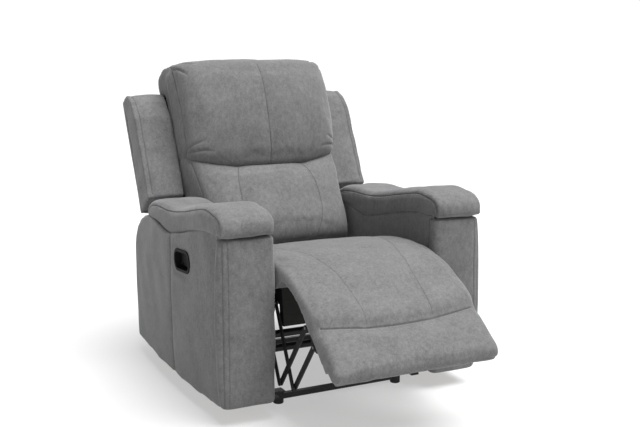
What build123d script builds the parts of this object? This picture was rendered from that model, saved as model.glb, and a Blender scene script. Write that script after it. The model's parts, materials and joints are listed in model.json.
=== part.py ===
from build123d import *
import os
from math import cos, radians, sin

# Recliner armchair with a padded footrest, built as steel linkage, timber frames and upholstered pads.
# Millimetres. +Z is up, the chair faces -Y, and the plane x = 0 is its middle. Left and right are the
# sitter's, so left is +X. Lengths along y are laid out from the arms' front plane, and the finished
# pieces are moved by ORIGIN_Y so that the origin is on the floor under the middle of the whole chair.
# The modelled rest position has the back upright and the footrest part way open.

# ---- driving dimensions ---------------------------------------------------------------------------
ORIGIN_Y = 335.36         # middle of the chair's length, behind the arms' front plane
GAP = 1.0                 # air between neighbouring soft pieces

ARM_INNER = 277           # half distance between the arms
ARM_OUTER = 442           # half width over the arms at their front
ARM_BULGE = 18            # how far the outer sides swell beyond ARM_OUTER
ARM_DEPTH = 862
ARM_BOTTOM = 52           # clear height under the arms
ARM_FRONT_TOP = 559       # seam where the front panel meets the arm pad
PANEL_THICK = 12          # inner and rear arm panels
SIDE_THICK = 42           # padded outer side, at its thickest
FRONT_THICK = 38          # padded front panel
BOARD = 18                # arm frame boards

PIVOT = (600, 330)        # back hinge, (y, z)
BACK_LEAN = 26            # upright back, degrees from vertical
SWEEP_RADIUS = 275        # the wings' lower edges keep this distance from the back hinge
HALF_BACK = 421           # half width over the wings
HALF_CUSHION = 264        # half width of the lumbar cushion
HALF_HEAD = 286           # half width of the head cushion

SEAT_TILT = 7             # seat frame, degrees down to the rear
SEAT_FRONT = (60, 385)    # top front edge of the seat frame, (y, z)
SEAT_FRAME_DEPTH = 460
HALF_SEAT = 262           # half width of the seat cushion
HALF_FOOTREST = 257       # half width of the footrest pad
RAIL_HEIGHT = 52
FRONT_RAIL_HEIGHT = 117   # the front rail closes the view under the seat
RAIL_THICK = 25

SWING_CENTRE = (-60, 497)  # the footrest linkage turns the footrest about this point, (y, z)
FOOTREST_SLOPE = 41        # degrees below level, part way open
FOOTREST_START = 124       # distances from SWING_CENTRE down the slope
FOOTREST_END = 393
FOOTREST_PAD = 32
FOOTREST_BOARD = 12

LINK_WIDTH = 18
LINK_THICK = 4
PIN_RADIUS = 4
RUNNING_FIT = 0.05        # radial clearance of a working pivot
OPEN_FIT = 1.5            # radial clearance of the pivots that close the linkage
BACKWARD_ANGLE = -51.9    # direction of the linkage's rear edge, degrees from +Y towards +Z
FORWARD_ANGLE = 243.1     # direction of the linkage's front edge
REAR_ARM = 270            # rear swing link pivot, along the rear edge
FRONT_ARM = 200           # front swing link pivot, along the rear edge
REAR_REACH = 200          # rear lift link pivot, along the front edge
FRONT_REACH = 258         # front lift link pivot, along the front edge

PLATE_X = 262             # inner face of the mechanism plates
PLATE_THICK = 4
LAYER_REAR_SWING = 256    # inner face of each link layer
LAYER_REAR_LIFT = 250
LAYER_FRONT_SWING = 244
LAYER_FRONT_LIFT = 238
LAYER_BRACKET = 232

FOOT_X = 212
FOOT_RADIUS = 16.5
FOOT_Y = (126, 648)
RAIL_Y = (60, 720)        # ends of the base rails
RAIL_FLANGE_Z = 38        # underside of the base rails
RAIL_TOP = 70
RAIL_FLANGE_WIDTH = 22
RAIL_STEEL = 4
BAR_SIZE = (16, 18)       # base cross bars, depth and height
BAR_Z = 13
TUBE_RADIUS = 12.5

ARM_BOLTS = [(250, 110), (420, 110), (600, 110)]
BOLT_RADIUS = 4
HINGE_X = 240             # inner face of the back hinge plates
BACK_PIN_RADIUS = 6

LATCH = (299, 443)        # middle of the release latch, (y, z)
LATCH_TILT = -4           # its front end sits a little higher
LATCH_SIZE = (141, 71)    # length and height over the bezel
LATCH_CORNER = 30

# ---- helpers --------------------------------------------------------------------------------------
parts = {}


def arc_point(origin, angle, distance):
    """The (y, z) point at a distance from origin, at an angle in degrees from +Y towards +Z."""
    return (origin[0] + distance * cos(radians(angle)), origin[1] + distance * sin(radians(angle)))


def back_point(forward, up):
    """A (y, z) point from distances in front of the back hinge and up along the leaning back."""
    lean = radians(BACK_LEAN)
    return (PIVOT[0] + up * sin(lean) - forward * cos(lean), PIVOT[1] + up * cos(lean) + forward * sin(lean))


def seat_point(along, above):
    """A (y, z) point from distances back along the seat frame and above its top."""
    tilt = radians(SEAT_TILT)
    return (SEAT_FRONT[0] + along * cos(tilt) + above * sin(tilt),
            SEAT_FRONT[1] - along * sin(tilt) + above * cos(tilt))


def footrest_point(down, under):
    """A (y, z) point from distances down the footrest's slope and under its top surface."""
    slope = radians(FOOTREST_SLOPE)
    return (SWING_CENTRE[0] - down * cos(slope) + under * sin(slope),
            SWING_CENTRE[1] - down * sin(slope) - under * cos(slope))


def lattice_point(backward, forward):
    """A (y, z) point of the footrest linkage, from distances along its rear and front edges."""
    return arc_point(arc_point(SWING_CENTRE, BACKWARD_ANGLE, backward), FORWARD_ANGLE, forward)


def slab(outline, x_low, x_high):
    """A solid between two x positions with a straight-edged side outline of (y, z) points."""
    return extrude(Plane.YZ.offset(x_low) * make_face(Polyline(*outline, close=True)), x_high - x_low)


def soft_slab(outline, x_low, x_high, corner, edge):
    """A slab with rounded outline corners and rounded long edges, for pads and cushions."""
    face = make_face(Polyline(*outline, close=True))
    face = fillet(face.vertices(), corner)
    solid = extrude(Plane.YZ.offset(x_low) * face, x_high - x_low)
    ends = solid.faces().sort_by(Axis.X)
    return fillet(ends[0].edges() + ends[-1].edges(), edge)


def block(x_range, y_range, z_range):
    """A box between two positions along each axis."""
    size = [high - low for low, high in (x_range, y_range, z_range)]
    middle = [(low + high) / 2 for low, high in (x_range, y_range, z_range)]
    return Pos(*middle) * Box(*size)


def rod(centre, radius, x_low, x_high):
    """A round bar along x through a (y, z) centre."""
    return extrude(Plane.YZ.offset(x_low) * Pos(*centre) * Circle(radius), x_high - x_low)


def drilled(solid, centre, radius):
    """The solid with a hole right through it along x, on the +X side of the chair."""
    return solid - rod(centre, radius, 1, 600)


def mirrored(solid):
    return mirror(solid, about=Plane.YZ)


def add_pair(name, solid):
    """Adds a left piece made on the +X side and its mirror image on the right."""
    parts[name + "_left"] = solid
    parts[name + "_right"] = mirrored(solid)


def pair(solid):
    """Both mirror images as one group of separate solids."""
    return Compound(children=[solid, mirrored(solid)])


def sinuous_wire(length, pitch, half_width, wire_radius):
    """A flat zigzag spring that runs along its own +Y from the origin."""
    count = int(length / pitch)
    points = [(0, 0, 0)]
    for run in range(count):
        side = half_width if run % 2 == 0 else -half_width
        start = (run + 0.5) * length / count
        points += [(side, start - 0.48 * pitch, 0), (side, start + 0.48 * pitch, 0)]
    points.append((0, length, 0))
    path = FilletPolyline(*points, radius=0.3 * pitch)
    return sweep(Plane(path @ 0, z_dir=path % 0) * Circle(wire_radius), path=path)


# ---- steel base -----------------------------------------------------------------------------------
def base_rail():
    """Angle rail with a tab that reaches inwards over each glide foot."""
    inside = PLATE_X - RAIL_STEEL
    flange_z = (RAIL_FLANGE_Z, RAIL_FLANGE_Z + RAIL_STEEL)
    rail = block((inside, PLATE_X), RAIL_Y, (RAIL_FLANGE_Z, RAIL_TOP))
    rail += block((inside - RAIL_FLANGE_WIDTH, inside), RAIL_Y, flange_z)
    for y_middle in FOOT_Y:
        tab_y = (y_middle - FOOT_RADIUS, y_middle + FOOT_RADIUS)
        rail += block((FOOT_X - FOOT_RADIUS, inside), tab_y, flange_z)
    return rail


def cross_bar(y_middle):
    half = BAR_SIZE[0] / 2
    return block((-FOOT_X, FOOT_X), (y_middle - half, y_middle + half), (BAR_Z, BAR_Z + BAR_SIZE[1]))


def glide_foot(y_middle):
    foot = Pos(FOOT_X, y_middle, RAIL_FLANGE_Z / 2) * Cylinder(FOOT_RADIUS, RAIL_FLANGE_Z)
    foot = fillet(foot.edges().group_by(Axis.Z)[0], 3)
    slot_half = BAR_SIZE[0] / 2
    slot = block((0, FOOT_X), (y_middle - slot_half, y_middle + slot_half), (BAR_Z, BAR_Z + BAR_SIZE[1]))
    return foot - slot


def mechanism_plate():
    outline = [(62, 372), (38, 358), (34, 326), (92, 258), (182, 150), (214, 42), (690, 42), (690, 120),
               (646, 320), (622, 360)]
    face = make_face(Polyline(*outline, close=True))
    face = fillet(face.vertices(), 12)
    plate = extrude(Plane.YZ.offset(PLATE_X) * face, PLATE_THICK)
    for centre in ARM_BOLTS:
        plate = drilled(plate, centre, BOLT_RADIUS)
    return plate


def cross_tube(centre):
    tube = rod(centre, TUBE_RADIUS, -PLATE_X, PLATE_X)
    return tube - rod(centre, TUBE_RADIUS - 1.5, -PLATE_X, PLATE_X)


def link_pivot_pin(centre, layer):
    pin = rod(centre, PIN_RADIUS, layer - 1, PLATE_X)
    return pin + rod(centre, PIN_RADIUS + 3, layer - 2.5, layer - 1)


def back_pivot_pin():
    shank = rod(PIVOT, BACK_PIN_RADIUS, HINGE_X - 3, PLATE_X)
    return shank + rod(PIVOT, 10, HINGE_X + 4.5, PLATE_X) + rod(PIVOT, 10, HINGE_X - 4.5, HINGE_X - 1.5)


def arm_bolt(centre):
    head = rod(centre, 8, PLATE_X - 6, PLATE_X)
    spacer = rod(centre, 10, PLATE_X + PLATE_THICK, ARM_INNER)
    return head + rod(centre, BOLT_RADIUS, PLATE_X - 6, 330) + spacer


def add_base():
    add_pair("base_rail", base_rail())
    parts["front_cross_bar"] = cross_bar(FOOT_Y[0])
    parts["rear_cross_bar"] = cross_bar(FOOT_Y[1])
    feet = [glide_foot(y_middle) for y_middle in FOOT_Y]
    parts["glide_feet"] = Compound(children=feet + [mirrored(foot) for foot in feet])
    add_pair("mechanism_plate", mechanism_plate())
    parts["front_cross_tube"] = cross_tube((226, 190))
    parts["rear_cross_tube"] = cross_tube((302, 117))
    pins = [link_pivot_pin(lattice_point(REAR_ARM, 0), LAYER_REAR_SWING),
            link_pivot_pin(lattice_point(FRONT_ARM, 0), LAYER_FRONT_SWING)]
    parts["link_pivot_pins"] = Compound(children=pins + [mirrored(pin) for pin in pins])
    parts["back_pivot_pins"] = pair(back_pivot_pin())
    bolts = [arm_bolt(centre) for centre in ARM_BOLTS]
    parts["arm_bolts"] = Compound(children=bolts + [mirrored(bolt) for bolt in bolts])


# ---- seat -----------------------------------------------------------------------------------------
SEAT_RAIL_X = 203         # inner face of the seat side rails


def seat_bar(x_range, along_range, above_range):
    low, high = along_range
    bottom, top = above_range
    outline = [seat_point(low, bottom), seat_point(high, bottom), seat_point(high, top), seat_point(low, top)]
    return slab(outline, *x_range)


def seat_bracket(along):
    """Angle that hangs a seat rail from the mechanism plate."""
    outer = SEAT_RAIL_X + RAIL_THICK
    web = seat_bar((outer, outer + 4), (along, along + 40), (-48, -6))
    foot = seat_bar((outer + 4, PLATE_X), (along, along + 40), (-48, -44))
    return web + foot


def seat_spring(x_middle):
    wire = sinuous_wire(SEAT_FRAME_DEPTH - RAIL_THICK, 32, 18, 2)
    y_start, z_start = seat_point(RAIL_THICK / 2, 2.2)
    return Pos(x_middle, y_start, z_start) * Rot(-SEAT_TILT, 0, 0) * wire


def seat_cushion():
    outline = [(-58, 412), (-58, 470), (20, 492), (140, 496), (405, 450), (462, 434), (502, 402),
               seat_point(445, 8), seat_point(-30, 8)]
    return soft_slab(outline, -HALF_SEAT, HALF_SEAT, 12, 10)


def add_seat():
    outer = SEAT_RAIL_X + RAIL_THICK
    height = (-RAIL_HEIGHT, 0)
    add_pair("seat_side_rail", seat_bar((SEAT_RAIL_X, outer), (RAIL_THICK, SEAT_FRAME_DEPTH), height))
    inside = (-SEAT_RAIL_X, SEAT_RAIL_X)
    parts["seat_front_rail"] = seat_bar((-outer, outer), (0, RAIL_THICK), (-FRONT_RAIL_HEIGHT, 0))
    parts["seat_rear_rail"] = seat_bar(inside, (SEAT_FRAME_DEPTH - RAIL_THICK, SEAT_FRAME_DEPTH), height)
    parts["seat_springs"] = Compound(children=[seat_spring(x) for x in (-150, -50, 50, 150)])
    brackets = [seat_bracket(190), seat_bracket(400)]
    parts["seat_brackets"] = Compound(children=brackets + [mirrored(piece) for piece in brackets])
    parts["seat_cushion"] = seat_cushion()


# ---- arms -----------------------------------------------------------------------------------------
# The pad's underside dips between its front and rear humps, and all the upright panels end under it.
ARM_TOP = [(18, 570), (139, 566), (356, 520), (464, 508), (599, 529), (668, 529)]
ARM_SHOULDER = [(760, 503), (838, 443), (ARM_DEPTH, 370)]


def arm_side_outline():
    top = Spline(*ARM_TOP, *ARM_SHOULDER)
    sides = Polyline(ARM_SHOULDER[-1], (ARM_DEPTH, ARM_BOTTOM), (FRONT_THICK + GAP, ARM_BOTTOM),
                     (FRONT_THICK + GAP, ARM_FRONT_TOP), (18, ARM_FRONT_TOP), ARM_TOP[0])
    return make_face([top, sides])


def arm_side_panel():
    inside = ARM_OUTER + ARM_BULGE - SIDE_THICK
    panel = extrude(Plane.YZ.offset(inside) * arm_side_outline(), SIDE_THICK)
    swell = ThreePointArc((ARM_OUTER, 0), (ARM_OUTER + ARM_BULGE, ARM_DEPTH / 2), (ARM_OUTER - 12, ARM_DEPTH))
    plan = make_face([swell, Polyline((ARM_OUTER - 12, ARM_DEPTH), (inside, ARM_DEPTH), (inside, 0),
                                      (ARM_OUTER, 0))])
    return panel & extrude(plan, 700)


def arm_inner_panel():
    panel = extrude(Plane.YZ.offset(ARM_INNER) * arm_side_outline(), PANEL_THICK)
    for centre in ARM_BOLTS:
        panel = drilled(panel, centre, BOLT_RADIUS)
    return panel


def arm_front_panel():
    panel = block((ARM_INNER, ARM_OUTER), (0, FRONT_THICK), (ARM_BOTTOM, ARM_FRONT_TOP - GAP))
    corners = panel.edges().filter_by(Axis.Z).group_by(Axis.Y)[0]
    return fillet(corners, 16)


def arm_frame():
    """Front, rear, top and bottom boards of one arm."""
    x_range = (ARM_INNER + PANEL_THICK, ARM_OUTER + ARM_BULGE - SIDE_THICK)
    front = block(x_range, (FRONT_THICK + GAP, FRONT_THICK + GAP + BOARD), (60, 540))
    rear = block(x_range, (ARM_DEPTH - PANEL_THICK - BOARD, ARM_DEPTH - PANEL_THICK), (60, 340))
    top = block(x_range, (FRONT_THICK + GAP + BOARD, 690), (482, 482 + BOARD))
    bottom = block(x_range, (FRONT_THICK + GAP + BOARD, ARM_DEPTH - PANEL_THICK - BOARD), (96, 124))
    for centre in ARM_BOLTS:
        bottom = drilled(bottom, centre, BOLT_RADIUS)
    return Compound(children=[front, rear, top, bottom])


def arm_rear_panel():
    """Panel that closes the arm behind, and curves forward over its shoulder to the pad."""
    inside = (ARM_INNER + PANEL_THICK, ARM_OUTER + ARM_BULGE - SIDE_THICK)
    whole = extrude(Plane.YZ.offset(inside[0]) * arm_side_outline(), inside[1] - inside[0])
    hollow = Pos(0, -PANEL_THICK, -PANEL_THICK) * whole
    below = Pos(0, -PANEL_THICK, PANEL_THICK - 60) * block(inside, (0, ARM_DEPTH), (0, 300))
    return (whole & block(inside, (ARM_TOP[-1][0] + GAP, ARM_DEPTH), (ARM_BOTTOM, 600))) - hollow - below


def arm_pad():
    under = [(y, z + 2 * GAP) for y, z in ARM_TOP]
    crown = [(-16, 575), (-10, 606), (28, 628), (125, 639), (240, 622), (410, 590), (520, 592), (610, 584),
             (660, 562), (668, 540)]
    top = Spline(*crown)
    bottom = Spline(*reversed(under))
    ends = [Line(crown[-1], under[-1]), Line(under[0], (-8, ARM_FRONT_TOP + 2)),
            Line((-8, ARM_FRONT_TOP + 2), crown[0])]
    face = make_face([top, bottom] + ends)
    pad = extrude(Plane.YZ.offset(ARM_INNER + 2) * face, ARM_OUTER - ARM_INNER)
    return pad


def latch_outline(grow):
    length, height = LATCH_SIZE
    rounded = RectangleRounded(length + 2 * grow, height + 2 * grow, LATCH_CORNER + grow)
    return Pos(*LATCH) * Rot(0, 0, LATCH_TILT) * rounded


def latch_block(grow, x_low, x_high):
    """The latch's rounded outline, grown or shrunk all round, between two x positions."""
    return extrude(Plane.YZ.offset(x_low) * latch_outline(grow), x_high - x_low)


LATCH_FACE = ARM_OUTER + ARM_BULGE - 0.2      # outer face of the latch bezel
LATCH_HINGE = (LATCH[0] + 35, LATCH_FACE - 20)  # latch paddle hinge, (y, distance from the middle)
LATCH_HINGE_Z = (425, 461)                    # outer ends of the two hinge ears


def latch_pocket():
    return latch_block(0.5, LATCH_FACE - 3, LATCH_FACE + 5) + latch_block(-5.5, LATCH_FACE - 39, LATCH_FACE)


def latch_bezel():
    flange = latch_block(0, LATCH_FACE - 2.8, LATCH_FACE)
    flange = fillet(flange.edges().group_by(Axis.X)[-1], 1.5)
    cup = flange + latch_block(-6, LATCH_FACE - 38, LATCH_FACE - 2.8)
    cup -= latch_block(-9, LATCH_FACE - 35, LATCH_FACE + 1)
    ear_y = (LATCH_HINGE[0] - 5, LATCH_HINGE[0] + 5)
    ear_x = (LATCH_FACE - 35, LATCH_HINGE[1] + 5)
    low, high = LATCH_HINGE_Z
    cup += block(ear_x, ear_y, (low, low + 5)) + block(ear_x, ear_y, (high - 5, high))
    hole = Pos(LATCH_HINGE[1], LATCH_HINGE[0], (low + high) / 2) * Cylinder(2, high - low)
    return cup - hole


def latch_hinge_pin():
    low, high = LATCH_HINGE_Z
    return Pos(LATCH_HINGE[1], LATCH_HINGE[0], (low + high) / 2) * Cylinder(2, high - low)


def latch_paddle():
    low, high = LATCH_HINGE_Z
    plate = latch_block(-16, LATCH_HINGE[1] - 2, LATCH_HINGE[1] + 2)
    plate &= block((0, 500), (LATCH[0] - 38, LATCH_HINGE[0]), (400, 480))
    barrel_height = high - low - 11
    middle = Pos(LATCH_HINGE[1], LATCH_HINGE[0], (low + high) / 2)
    ear_room = block((0, 500), (LATCH_HINGE[0] - 7, LATCH_HINGE[0] + 7), (400, low + 5.5))
    ear_room += block((0, 500), (LATCH_HINGE[0] - 7, LATCH_HINGE[0] + 7), (high - 5.5, 490))
    paddle = plate - ear_room + middle * Cylinder(4.5, barrel_height)
    return paddle - middle * Cylinder(2 + RUNNING_FIT, barrel_height)


def add_arms():
    add_pair("arm_frame", arm_frame())
    add_pair("arm_side_panel", arm_side_panel())
    parts["arm_side_panel_right"] = mirrored(arm_side_panel() - latch_pocket())
    add_pair("arm_inner_panel", arm_inner_panel())
    add_pair("arm_front_panel", arm_front_panel())
    add_pair("arm_rear_panel", arm_rear_panel())
    add_pair("arm_pad", arm_pad())
    parts["latch_bezel"] = mirrored(latch_bezel())
    parts["latch_hinge_pin"] = mirrored(latch_hinge_pin())
    parts["latch_paddle"] = mirrored(latch_paddle())


# ---- back -----------------------------------------------------------------------------------------
STILE_X = (205, 235)
FRAME_DEPTH = (-100, -42)  # back frame, distances in front of the hinge
FRAME_TOP = 685
CUSHION_BACK = -36        # rear faces of the cushions, just clear of the springs


def back_bar(x_range, up_range, forward_range=FRAME_DEPTH):
    low, high = up_range
    rear, front = forward_range
    outline = [back_point(rear, low), back_point(front, low), back_point(front, high), back_point(rear, high)]
    return slab(outline, *x_range)


def back_spring(x_middle):
    wire = sinuous_wire(FRAME_TOP - 75, 42, 18, 2)
    y_start, z_start = back_point(FRAME_DEPTH[1] + 2.2, 45)
    return Pos(x_middle, y_start, z_start) * Rot(90 - BACK_LEAN, 0, 0) * wire


def back_hinge_plate():
    boss = Plane.YZ.offset(HINGE_X) * Pos(*PIVOT) * Circle(24)
    strap = [back_point(-95, 10), back_point(-95, 190), back_point(-50, 190), back_point(-50, 34),
             back_point(-10, 21), back_point(-10, -21), back_point(-40, -22)]
    plate = extrude(boss, 4) + slab(strap, HINGE_X, HINGE_X + 4)
    plate = drilled(plate, PIVOT, BACK_PIN_RADIUS + RUNNING_FIT)
    shim = back_bar((STILE_X[1], HINGE_X), (20, 180), (-95, -50))
    return plate + shim


def wing_outline(rear, front, top):
    """Side outline of a wing piece, whose lower edge is an arc about the back hinge."""
    lowest = {edge: (SWEEP_RADIUS ** 2 - edge ** 2) ** 0.5 for edge in (rear, front)}
    middle = (rear + front) / 2
    middle_low = (SWEEP_RADIUS ** 2 - middle ** 2) ** 0.5
    lower_edge = ThreePointArc(back_point(rear, lowest[rear]), back_point(middle, middle_low),
                               back_point(front, lowest[front]))
    rest = Polyline(back_point(front, lowest[front]), back_point(front, top - 110), back_point(front - 20, top - 40),
                    back_point(front - 55, top), back_point(rear, top), back_point(rear, lowest[rear]))
    return make_face([lower_edge, rest])


def wing_pad():
    return extrude(Plane.YZ.offset(HALF_HEAD + 4) * wing_outline(-84, 0, FRAME_TOP), HALF_BACK - HALF_HEAD - 4)


def wing_board():
    return back_bar((STILE_X[1], HALF_BACK - 4), (285, FRAME_TOP), (FRAME_DEPTH[0] - 4, FRAME_DEPTH[0] + 14))


def lumbar_cushion():
    outline = [(CUSHION_BACK, 37), (156, 47), (176, 110), (172, 170), (150, 232), (132, 290), (118, 334),
               (CUSHION_BACK, 334)]
    points = [back_point(*point) for point in outline]
    return soft_slab(points, -HALF_CUSHION, HALF_CUSHION, 8, 8)


def head_cushion():
    outline = [(CUSHION_BACK, 338), (118, 338), (150, 420), (176, 485), (184, 590), (176, 680), (140, 728), (64, 762),
               (-40, 762), (-96, 732), (-104, FRAME_TOP + 4),
               (CUSHION_BACK, FRAME_TOP + 4)]
    points = [back_point(*point) for point in outline]
    return soft_slab(points, -HALF_HEAD, HALF_HEAD, 6, 6)


def rear_cover():
    wide = back_bar((-HALF_BACK, HALF_BACK), (SWEEP_RADIUS - 8, FRAME_TOP + 4), (-135, -105))
    narrow = back_bar((-HALF_SEAT, HALF_SEAT), (-10, SWEEP_RADIUS - 8), (-135, -105))
    cover = wide + narrow
    return fillet(cover.edges().filter_by(Axis.X).group_by(Axis.Z)[-1], 10)


def add_back():
    add_pair("back_stile", back_bar(STILE_X, (0, FRAME_TOP)))
    inside = (-STILE_X[0], STILE_X[0])
    parts["back_top_rail"] = back_bar(inside, (FRAME_TOP - 45, FRAME_TOP))
    parts["back_middle_rail"] = back_bar(inside, (330, 370), (FRAME_DEPTH[0], FRAME_DEPTH[1] - 12))
    parts["back_bottom_rail"] = back_bar(inside, (20, 65))
    parts["back_springs"] = Compound(children=[back_spring(x) for x in (-150, -50, 50, 150)])
    add_pair("back_hinge_plate", back_hinge_plate())
    add_pair("wing_board", wing_board())
    add_pair("wing_pad", wing_pad())
    parts["lumbar_cushion"] = lumbar_cushion()
    parts["head_cushion"] = head_cushion()
    parts["rear_cover"] = rear_cover()


# ---- footrest and its linkage ---------------------------------------------------------------------
def footrest_bar(x_range, down_range, under_range):
    low, high = down_range
    top, bottom = under_range
    outline = [footrest_point(low, top), footrest_point(high, top), footrest_point(high, bottom),
               footrest_point(low, bottom)]
    return slab(outline, *x_range)


def footrest_pad():
    start, end = FOOTREST_START, FOOTREST_END
    outline = [(start, 6), (start + 20, 0), (end - 6, 0), (end, 6), (end, FOOTREST_PAD + 6),
               (end - 8, FOOTREST_PAD + 6), (end - 8, FOOTREST_PAD), (start, FOOTREST_PAD)]
    return slab([footrest_point(*point) for point in outline], -HALF_FOOTREST, HALF_FOOTREST)


def footrest_bracket():
    top = FOOTREST_PAD + FOOTREST_BOARD
    outline = [(150, top), (262, top), (258, 100), (240, 110), (222, 108), (166, 84)]
    web = slab([footrest_point(*point) for point in outline], LAYER_BRACKET, LAYER_BRACKET + 4)
    return web + footrest_bar((LAYER_BRACKET - 28, LAYER_BRACKET), (150, 262), (top, top + 3))


def footrest_pivot_pin(reach, layer):
    centre = lattice_point(0, reach)
    return rod(centre, PIN_RADIUS, LAYER_BRACKET + 4, layer + LINK_THICK + 0.8)


def link(start, end, layer, start_hole, end_hole):
    """A flat bar between two pivots. A hole radius of zero leaves that end solid."""
    length = ((end[0] - start[0]) ** 2 + (end[1] - start[1]) ** 2) ** 0.5
    angle = Vector(end[0] - start[0], end[1] - start[1]).get_signed_angle(Vector(1, 0), Vector(0, 0, -1))
    middle = ((start[0] + end[0]) / 2, (start[1] + end[1]) / 2)
    face = Pos(*middle) * Rot(0, 0, angle) * SlotCenterToCenter(length, LINK_WIDTH)
    bar = extrude(Plane.YZ.offset(layer) * face, LINK_THICK)
    for centre, radius in ((start, start_hole), (end, end_hole)):
        if radius:
            bar = drilled(bar, centre, radius)
    return bar


def stud(centre, layer):
    """A headed stud that stands inward from a swing link through the lift link beside it."""
    shank = rod(centre, PIN_RADIUS, layer - 7.2, layer)
    return shank + rod(centre, PIN_RADIUS + 3, layer - 7.5, layer - 6.4)


def rear_swing_link():
    end = lattice_point(REAR_ARM, REAR_REACH)
    bar = link(lattice_point(REAR_ARM, 0), end, LAYER_REAR_SWING, PIN_RADIUS + RUNNING_FIT, 0)
    return bar + stud(end, LAYER_REAR_SWING)


def front_swing_link():
    end = lattice_point(FRONT_ARM, FRONT_REACH)
    crossing = lattice_point(FRONT_ARM, REAR_REACH)
    bar = link(lattice_point(FRONT_ARM, 0), end, LAYER_FRONT_SWING, PIN_RADIUS + RUNNING_FIT, 0)
    rivet = rod(crossing, PIN_RADIUS, LAYER_FRONT_SWING + LINK_THICK, LAYER_REAR_LIFT + LINK_THICK + 0.8)
    return bar + stud(end, LAYER_FRONT_SWING) + rivet


def rear_lift_link():
    start = lattice_point(REAR_ARM, REAR_REACH)
    end = lattice_point(0, REAR_REACH)
    bar = link(start, end, LAYER_REAR_LIFT, PIN_RADIUS + RUNNING_FIT, PIN_RADIUS + OPEN_FIT)
    crossing = lattice_point(FRONT_ARM, REAR_REACH)
    return drilled(bar, crossing, PIN_RADIUS + OPEN_FIT)


def front_lift_link():
    start = lattice_point(FRONT_ARM, FRONT_REACH)
    end = lattice_point(0, FRONT_REACH)
    return link(start, end, LAYER_FRONT_LIFT, PIN_RADIUS + RUNNING_FIT, PIN_RADIUS + OPEN_FIT)


def add_footrest():
    parts["footrest_pad"] = footrest_pad()
    board_under = (FOOTREST_PAD, FOOTREST_PAD + FOOTREST_BOARD)
    parts["footrest_board"] = footrest_bar((-245, 245), (FOOTREST_START + 6, FOOTREST_END - 8), board_under)
    add_pair("footrest_bracket", footrest_bracket())
    pins = [footrest_pivot_pin(REAR_REACH, LAYER_REAR_LIFT), footrest_pivot_pin(FRONT_REACH, LAYER_FRONT_LIFT)]
    parts["footrest_pivot_pins"] = Compound(children=pins + [mirrored(pin) for pin in pins])
    parts["rear_swing_links"] = pair(rear_swing_link())
    parts["front_swing_links"] = pair(front_swing_link())
    parts["rear_lift_links"] = pair(rear_lift_link())
    parts["front_lift_links"] = pair(front_lift_link())


add_base()
add_seat()
add_arms()
add_back()
add_footrest()

os.makedirs("parts", exist_ok=True)
for name, solid in parts.items():
    export_step(Pos(0, -ORIGIN_Y, 0) * solid, f"parts/{name}.step")
whole = Compound(children=[Pos(0, -ORIGIN_Y, 0) * solid for solid in parts.values()]).bounding_box()
print(len(parts), "sub-parts, box", whole.min, whole.max)
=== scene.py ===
import json
from math import cos, pi, radians, sin

import bmesh
import bpy
import numpy as np
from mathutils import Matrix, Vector
from mathutils.bvhtree import BVHTree
from mathutils.kdtree import KDTree


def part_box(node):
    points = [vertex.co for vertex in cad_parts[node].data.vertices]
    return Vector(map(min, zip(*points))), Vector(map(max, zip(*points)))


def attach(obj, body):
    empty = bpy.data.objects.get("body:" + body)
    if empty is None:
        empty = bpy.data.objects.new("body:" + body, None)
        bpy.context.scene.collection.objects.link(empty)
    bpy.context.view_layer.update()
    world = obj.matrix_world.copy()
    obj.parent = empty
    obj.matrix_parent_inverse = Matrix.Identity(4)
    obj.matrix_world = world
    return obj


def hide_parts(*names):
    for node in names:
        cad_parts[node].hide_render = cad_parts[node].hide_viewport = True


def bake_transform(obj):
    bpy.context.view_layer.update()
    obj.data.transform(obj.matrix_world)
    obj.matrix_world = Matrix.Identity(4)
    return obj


# Recliner armchair: upholstery, materials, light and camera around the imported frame. Outlines, guide
# lines and the sizes just below are millimetres, in the chair's own planes: (y, z) seen from the side
# with y measured from the arms' front plane, (forward, up) along the leaning back from its hinge, and
# (down, under) along the sloping footrest from the centre that it swings about. Mesh and fabric sizes,
# such as voxel, wavelength and height, are metres.

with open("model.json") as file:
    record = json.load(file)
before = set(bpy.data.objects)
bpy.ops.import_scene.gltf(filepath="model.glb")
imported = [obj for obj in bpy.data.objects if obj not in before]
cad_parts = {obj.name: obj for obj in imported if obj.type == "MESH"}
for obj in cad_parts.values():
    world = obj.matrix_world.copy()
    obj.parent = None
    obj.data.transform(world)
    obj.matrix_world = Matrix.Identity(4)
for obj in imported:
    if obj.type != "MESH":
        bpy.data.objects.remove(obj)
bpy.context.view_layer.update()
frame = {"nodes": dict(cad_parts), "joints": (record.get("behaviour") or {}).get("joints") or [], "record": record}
JOINTS = {joint["name"]: joint for joint in frame["joints"]}

# ---- places ---------------------------------------------------------------------------------------
MM = 0.001
ARM_FRONT_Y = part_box("arm_front_panel_left")[0].y
BACK_HINGE = np.array(JOINTS["back_recline"]["pos_m"])
SWING_CENTRE = np.array(JOINTS["footrest_swing"]["pos_m"])
BACK_LEAN = radians(26)
FOOTREST_SLOPE = radians(41)
ARM_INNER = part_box("arm_front_panel_left")[0].x / MM
ARM_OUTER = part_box("arm_front_panel_left")[1].x / MM
HALF_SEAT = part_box("seat_cushion")[1].x / MM
HALF_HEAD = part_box("head_cushion")[1].x / MM
HALF_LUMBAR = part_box("lumbar_cushion")[1].x / MM
HALF_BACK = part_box("rear_cover")[1].x / MM
PAD_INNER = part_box("arm_pad_left")[0].x / MM
PAD_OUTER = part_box("arm_pad_left")[1].x / MM
FOOTREST_END = 402        # down the footrest, to the end of its pad
CUSHION_SEAM_UP = 350     # where the head cushion meets the lumbar cushion
CUSHION_SEAM_RISE = 24    # how much higher that seam is at its two ends
CUSHION_SEAM_BAND = 140   # how far above and below the seam the cushions rise with it
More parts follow.
